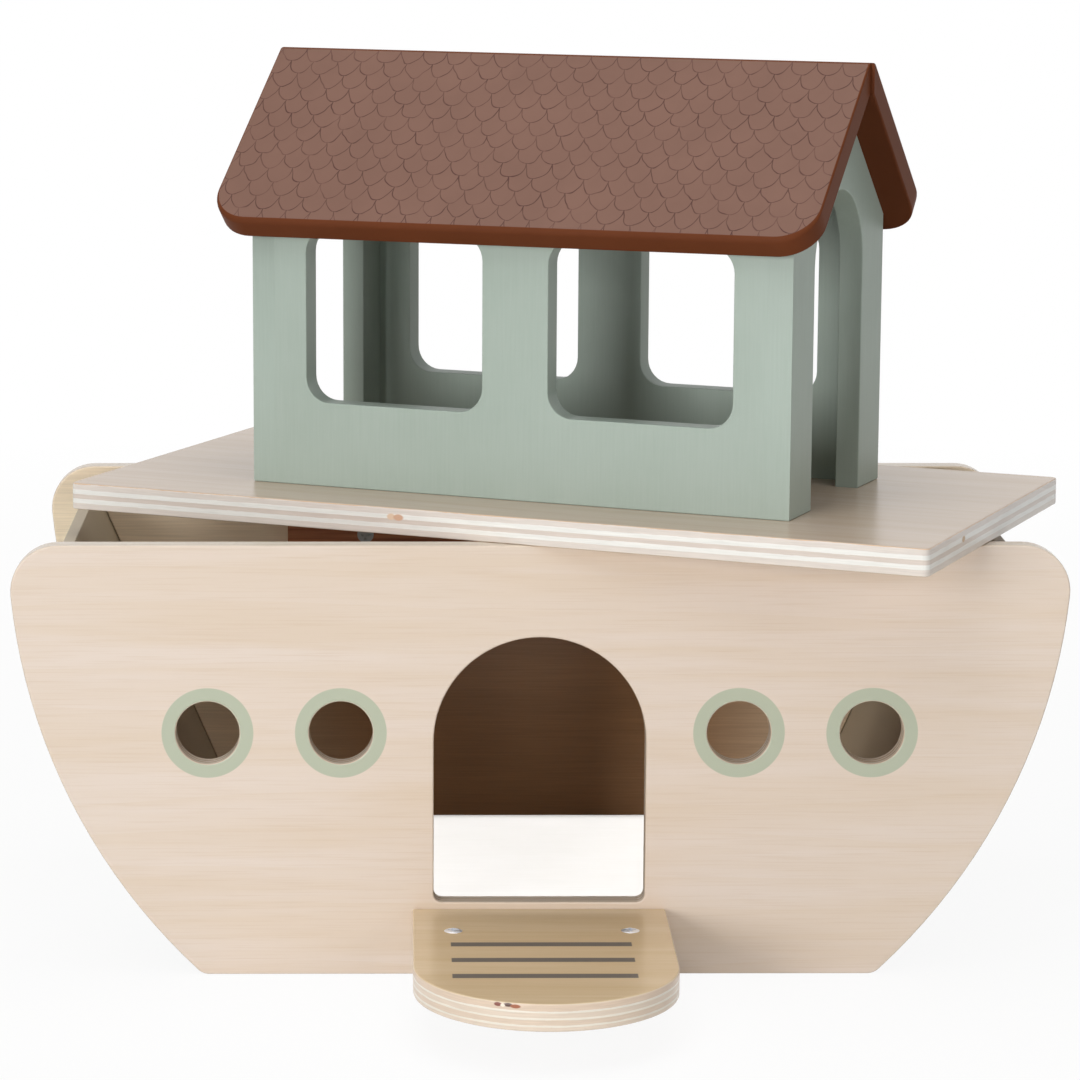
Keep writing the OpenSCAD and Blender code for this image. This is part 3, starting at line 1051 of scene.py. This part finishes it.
@dataclass
class Cabin:
    """The cabin on the deck: walls and gables painted sage, with sanded rims round their openings.

    Attributes:
        deck: the deck that carries it.
        length: length over both gables.
        depth: depth over both walls.
        wall_t: thickness of a wall.
        pillar_w: width of the wall between two windows.
        window_w: width of a window.
        window_z: heights of a window's sill and head above the deck.
        door_w: width of a gable's doorway.
        door_h: height of a gable's doorway.
        rim: width of the sanded rims.
        slack: how far a point may be off a measure.
    """

    deck: Deck
    length: float = 212.0
    depth: float = 102.5
    wall_t: float = 9.0
    pillar_w: float = 26.0
    window_w: float = 71.0
    window_z: Pair = (31.5, 96.3)
    door_w: float = 54.5
    door_h: float = 113.5
    rim: float = 0.45
    slack: float = 0.2

    def build(self) -> None:
        """Dresses the cabin's walls, gables and hidden fasteners."""
        # One frame with upright grain, so that the paint runs on over the filled joints
        upright = BoardFrame(self.deck.board().origin, (0.0, -90.0, self.deck.turn))
        sage = SatinPaint("cabin_sage", Gloss.SATIN, upright, *SAGE)
        for node in ("cabin_front_wall", "cabin_back_wall", "cabin_left_gable", "cabin_right_gable"):
            self.mark_rims(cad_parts[node].data)
            dress(sage, Easing(CRISP.width, marked=self.rim), node)
        beech = PlainWood("cabin_dowel_beech", Gloss.MATT, self.deck.board(), *BEECH)
        dress(beech, CRISP, "cabin_corner_dowels", "roof_dowels")
        dress(ZincPlate("cabin_screw_zinc", Gloss.ZINC, "#CDCFD2"), CRISP, "cabin_screws")

    def mark_rims(self, mesh: bpy.types.Mesh) -> None:
        """Marks the edges to ease: those round the openings and along the foot.

        Args:
            mesh: the mesh of a wall or a gable.
        """
        to_deck = self.deck.board(up=self.deck.deck_t).matrix().inverted()
        points = [to_deck @ v.co for v in mesh.vertices]
        marks = mesh.attributes.new(EDGE_MARK, "FLOAT", "EDGE")
        for edge in mesh.edges:
            a, b = (points[i] for i in edge.vertices)
            marks.data[edge.index].value = float(self.is_rim(a, b))

    def is_rim(self, a: Vector, b: Vector) -> bool:
        """Tells whether an edge runs round an opening or along the foot of the cabin.

        Args:
            a: one end of the edge, above the deck.
            b: its other end.

        Returns:
            Whether it is to be eased.
        """
        x, y, z = (abs(c) for c in (a + b) / 2)
        in_wall = abs(a.y - b.y) < self.slack and y > self.depth / 2 - self.wall_t - self.slack
        in_gable = abs(a.x - b.x) < self.slack and x > self.length / 2 - self.wall_t - self.slack
        if max(a.z, b.z) < self.slack:
            outer_wall = in_wall and y > self.depth / 2 - self.slack
            return outer_wall or (in_gable and x > self.length / 2 - self.slack)
        from_pillar = x - self.pillar_w / 2
        by_window = -self.slack < from_pillar < self.window_w + self.slack
        low, high = self.window_z
        window = in_wall and by_window and low - self.slack < z < high + self.slack
        door = in_gable and y < self.door_w / 2 + self.slack and z < self.door_h + self.slack
        return window or door


@dataclass(frozen=True)
class RoofCut:
    """Where a roof board was sawn off, in its own frame; the end with the greater X comes first.

    Attributes:
        ends: distances of both ends from the middle.
        slopes: lengths of the face down the slope at both ends.
    """

    ends: Pair
    slopes: Pair


@dataclass
class Roof:
    """The gable roof: two brown boards with printed scales.

    Each board stands for a packed slab, whose edges are all rounded alike: here the eave's upper edge
    is rounded over, the others are only sanded, and the saw cuts lie where the photograph shows them.

    Attributes:
        deck: the deck that carries the cabin below it.
        peak: height of the boards' underside at the ridge, above the deck's top.
        pitch: the roof's pitch, in degrees.
        cuts: the saw cuts of the front and the back board.
        board_t: thickness of a board.
        corner_r: rounding of the corners at the eave.
        corner_steps: number of sides that draw it.
        ridge_r: rounding of the ridge.
        ridge_steps: number of facets that draw half of it.
        joint: half the gap of the mitre at the ridge.
        eave_r: rounding of the eave's upper edge.
        sanded: the other edges' share of that rounding.
        aligned: cosine from which a face counts as lying in a plane.
    """

    deck: Deck
    peak: float = 148.1
    pitch: float = 43.0
    cuts: tuple[RoofCut, RoofCut] = (
        RoofCut((118.5, 116.5), (89.2, 87.1)),
        RoofCut((117.9, 118.5), (88.7, 88.7)),
    )
    board_t: float = 9.0
    corner_r: float = 15.0
    corner_steps: int = 12
    ridge_r: float = 2.6
    ridge_steps: int = 5
    joint: float = 0.05
    eave_r: float = 2.2
    sanded: float = 0.32
    aligned: float = 0.99

    def build(self) -> None:
        """Makes both boards and dresses them."""
        up = self.deck.deck_t + self.peak
        # Face with a painted sheen, plain brown edges and underside, and the printed line
        colours_with_sheen = ("#7C5E52", "#64361F", "#3E2224")
        for side, about, cut in zip(("front", "back"), (180.0, 0.0), self.cuts):
            place = self.deck.board(up=up, tilt=-self.pitch, round_about=about)
            board = self.make_board(f"roof_{side}_board", place, cut)
            paint = ScalePrint(f"roof_{side}_brown", Gloss.EGGSHELL, place, *colours_with_sheen)
            coat(board, paint, Easing(CRISP.width, marked=self.eave_r, steps=4))
            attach(board, "deck")
            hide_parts(f"roof_{side}_slab")

    def outline(self, cut: RoofCut) -> list[Pair]:
        """Draws a board's outline, square at the ridge and rounded at the eave.

        Args:
            cut: where the board was sawn off.

        Returns:
            The outline's points.
        """
        r = self.corner_r
        mitre = self.board_t * math.tan(math.radians(self.pitch))
        # The ridge's side reaches past the mitre, which cuts it off
        past = -2 * self.board_t
        points = [(cut.ends[0], past)]
        for side, start, end, slope in zip((1, -1), (0, 90), cut.ends, cut.slopes):
            middle = side * (end - r)
            for step in range(self.corner_steps + 1):
                a = math.radians(start + 90 * step / self.corner_steps)
                points.append((middle + r * math.cos(a), slope - mitre - r + r * math.sin(a)))
        return points + [(-cut.ends[1], past)]

    def ridge_cuts(self) -> list[tuple[Vector, Vector]]:
        """Returns the planes that cut the mitre and round the ridge, as points and outward normals."""
        lean = math.radians(self.pitch)
        level = Vector((0, math.cos(lean), math.sin(lean)))
        upright = Vector((0, -math.sin(lean), math.cos(lean)))
        middle = upright * (self.board_t - self.ridge_r) / math.cos(lean)
        cuts = [(level * self.joint, -level)]
        for step in range(self.ridge_steps):
            turn = lean * step / self.ridge_steps
            outward = upright * math.cos(turn) + level * math.sin(turn)
            cuts.append((middle + outward * self.ridge_r, outward))
        return cuts

    def make_board(self, name: str, place: BoardFrame, cut: RoofCut) -> bpy.types.Object:
        """Makes a board, mitred and rounded at the ridge.

        Args:
            name: its name.
            place: where it lies; its Y runs down the slope.
            cut: where it was sawn off.

        Returns:
            The board's object.
        """
        solid = bmesh.new()
        outline = self.outline(cut)
        low = [solid.verts.new((x, y, 0)) for x, y in outline]
        high = [solid.verts.new((x, y, self.board_t)) for x, y in outline]
        solid.faces.new(reversed(low))
        solid.faces.new(high)
        for i in range(len(outline)):
            solid.faces.new((low[i - 1], low[i], high[i], high[i - 1]))
        for point, outward in self.ridge_cuts():
            every = solid.verts[:] + solid.edges[:] + solid.faces[:]
            plane = {"plane_co": point, "plane_no": outward}
            sawn = bmesh.ops.bisect_plane(solid, geom=every, clear_outer=True, **plane)
            rim = [e for e in sawn["geom_cut"] if isinstance(e, bmesh.types.BMEdge)]
            bmesh.ops.contextual_create(solid, geom=rim)
        bmesh.ops.recalc_face_normals(solid, faces=solid.faces)
        self.mark_edges(solid)
        solid.transform(place.matrix())
        mesh = bpy.data.meshes.new(name)
        solid.to_mesh(mesh)
        solid.free()
        return put(name, mesh)

    def mark_edges(self, solid: bmesh.types.BMesh) -> None:
        """Marks how far each edge of a board is eased: most at the eave, and not at the mitre.

        Args:
            solid: the board in its own frame.
        """
        marks = solid.edges.layers.float.new(EDGE_MARK)
        mitre = self.ridge_cuts()[0][1]
        for edge in solid.edges:
            normals = [face.normal for face in edge.link_faces]
            at_mitre = any(n.dot(mitre) > self.aligned for n in normals)
            if at_mitre or edge.calc_face_angle() < math.radians(CRISP.corner):
                continue
            upper = max(n.z for n in normals) > self.aligned
            eave = max(0.0, *(n.y for n in normals)) if upper else 0.0
            edge[marks] = self.sanded + (1 - self.sanded) * eave


@dataclass(frozen=True)
class Lamp:
    """A soft box of the studio.

    Attributes:
        name: its name.
        at: where it hangs, in metres.
        size: its width and height, in metres.
        power: its power, in watts.
        to: the point that it faces, in metres.
        spread: how wide its beam opens, in degrees.
        bounces: how often its light may bounce.
    """

    name: str
    at: Triple
    size: Pair
    power: float
    to: Triple = (0.0, 0.0, 0.14)
    spread: float = 180.0
    bounces: int = 1024

    def hang(self) -> None:
        """Makes the lamp and points it."""
        data = bpy.data.lights.new(self.name, "AREA")
        data.spread = math.radians(self.spread)
        data.shape = "RECTANGLE"
        data.size, data.size_y = self.size
        data.energy = self.power
        data.cycles.max_bounces = self.bounces
        lamp = put(self.name, data)
        lamp.visible_camera = False
        lamp.location = self.at
        toward = Vector(self.to) - Vector(self.at)
        lamp.rotation_euler = toward.to_track_quat("-Z", "Y").to_euler()
        LOG.info("lamp %s", self.name)


@dataclass
class Studio:
    """A pale floor and soft studio light.

    Attributes:
        lamps: a box at the part's height in front on the left, a weaker one on the right, two above,
            and a small narrow one under the deck, so that the white floor shows behind the doorway but
            throws no light on the wall behind it.
        floor_size: side of the floor, in metres.
        sky: strength of the even light from all round.
        floor_glow: how much of the floor's white the camera sees without its shadow.
        shadow_from: distance from the middle at which the shadow starts to fade, in metres.
        shadow_to: distance at which the floor is plain white, in metres.
    """

    lamps: tuple[Lamp, ...] = (
        Lamp("front_box", (-1.24, -2.14, 0.49), (0.8, 0.8), 27.5),
        Lamp("right_box", (1.39, -1.98, 0.79), (1.2, 1.2), 11),
        Lamp("high_box", (-0.92, -1.32, 2.06), (1.2, 1.2), 10.5),
        Lamp("top_box", (0.0, 0.0, 1.9), (1.6, 1.6), 21.5),
        Lamp("hull_lamp", (0.005, 0.016, 0.12), (0.16, 0.134), 0.074, (0.005, 0.016, 0.0), 8, 0),
    )
    floor_size: float = 60.0
    sky: float = 0.05
    floor_glow: float = 0.92
    shadow_from: float = 0.3
    shadow_to: float = 1.2

    def build(self) -> None:
        """Makes the floor, the sky and the lamps."""
        self.make_floor()
        self.make_sky()
        for lamp in self.lamps:
            lamp.hang()

    def make_floor(self) -> None:
        """Lays a wide white floor at the part's base."""
        half = self.floor_size / 2
        corners = [(-half, -half, 0), (half, -half, 0), (half, half, 0), (-half, half, 0)]
        mesh = bpy.data.meshes.new("studio_floor")
        mesh.from_pydata(corners, [], [(0, 1, 2, 3)])
        floor = put("studio_floor", mesh)
        paper = bpy.data.materials.new("studio_paper")
        paper.use_nodes = True
        tree = paper.node_tree
        tree.nodes.clear()
        lit = add(tree, "BsdfDiffuse", {"Color": "#F2F2F1"})
        glow = add(tree, "Emission", {"Color": "#FFFFFF", "Strength": 1.0})
        point = add(tree, "TexCoord", out="Object")
        far = add(tree, "VectorMath LENGTH", [point], out="Value")
        fade = [far, self.shadow_from, self.shadow_to, self.floor_glow, 1.0]
        white = add(tree, "MapRange", fade)
        share = add(tree, "Math MULTIPLY", [self.seen_directly(tree), white])
        mixed = add(tree, "MixShader", [share, lit, glow])
        fill(tree, tree.nodes.new("ShaderNodeOutputMaterial"), {"Surface": mixed})
        mesh.materials.append(paper)
        floor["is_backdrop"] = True

    def seen_directly(self, tree: Tree) -> Socket:
        """Adds the nodes that tell whether the camera, a gloss or a glass sees a surface.

        Args:
            tree: a material's or the world's node tree.

        Returns:
            A value socket: 1 if so, else 0.
        """
        path = add(tree, "LightPath").node
        seen = path.outputs["Is Camera Ray"]
        for ray in ("Is Glossy Ray", "Is Transmission Ray"):
            seen = add(tree, "Math MAXIMUM", [seen, path.outputs[ray]])
        return seen

    def make_sky(self) -> None:
        """Sets an even white sky that lights the part softly."""
        world = bpy.data.worlds.new("studio_sky")
        world.use_nodes = True
        bpy.context.scene.world = world
        tree = world.node_tree
        strength = add(tree, "MapRange", [self.seen_directly(tree), 0.0, 1.0, self.sky, 1.0])
        fill(tree, tree.nodes["Background"], {"Color": "#FFFFFF", "Strength": strength})


@dataclass
class Camera:
    """The camera at the photograph's place.

    Attributes:
        at: its place.
        yaw: its turn to the right, in degrees.
        pitch: its tilt down, in degrees.
        roll: its roll, in degrees.
        focal: focal length, in pixels of the picture.
        centre: where its axis meets the picture, in pixels.
        side: side of the square picture, in pixels.
        sensor: width of its sensor.
        reach: the nearest and the farthest that it sees, in metres.
    """

    at: Triple = (-51.83, -1498.3, 415.6)
    yaw: float = 0.4435
    pitch: float = 10.263
    roll: float = -0.064
    focal: float = 4002.6
    centre: Pair = (426.5, 538.5)
    side: float = 1080.0
    sensor: float = 36.0
    reach: Pair = (0.05, 200.0)

    def build(self) -> None:
        """Makes the camera and points it."""
        data = bpy.data.cameras.new("photo_camera")
        data.sensor_width = self.sensor
        data.lens = self.focal / self.side * self.sensor
        data.shift_x = (self.side / 2 - self.centre[0]) / self.side
        data.shift_y = (self.centre[1] - self.side / 2) / self.side
        data.clip_start, data.clip_end = self.reach
        camera = put("photo_camera", data)
        turn = Matrix()
        for angle, axis in ((-self.yaw, "Z"), (90 - self.pitch, "X"), (-self.roll, "Z")):
            turn = turn @ Matrix.Rotation(math.radians(angle), 4, axis)
        camera.matrix_world = Matrix.Translation([c * MM for c in self.at]) @ turn
        bpy.context.scene.camera = camera


def write_sizes() -> None:
    """Works out the box of the solids and the box of the dressed part, but writes neither."""
    boxes = {"cad": CAD_BOX, "visual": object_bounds()}
    {k: [list(lo), list(hi)] for k, (lo, hi) in boxes.items()}


def main() -> None:
    """Dresses the part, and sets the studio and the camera."""
    logging.basicConfig(level=logging.INFO, format="%(name)s %(message)s")
    deck = Deck()
    for assembly in (Hull(), Ramp(), deck, Cabin(deck), Roof(deck), Studio(), Camera()):
        assembly.build()
        LOG.info("%s done", type(assembly).__name__)
    bpy.context.scene.view_settings.view_transform = "Standard"
    write_sizes()


if __name__ == "__main__":
    main()
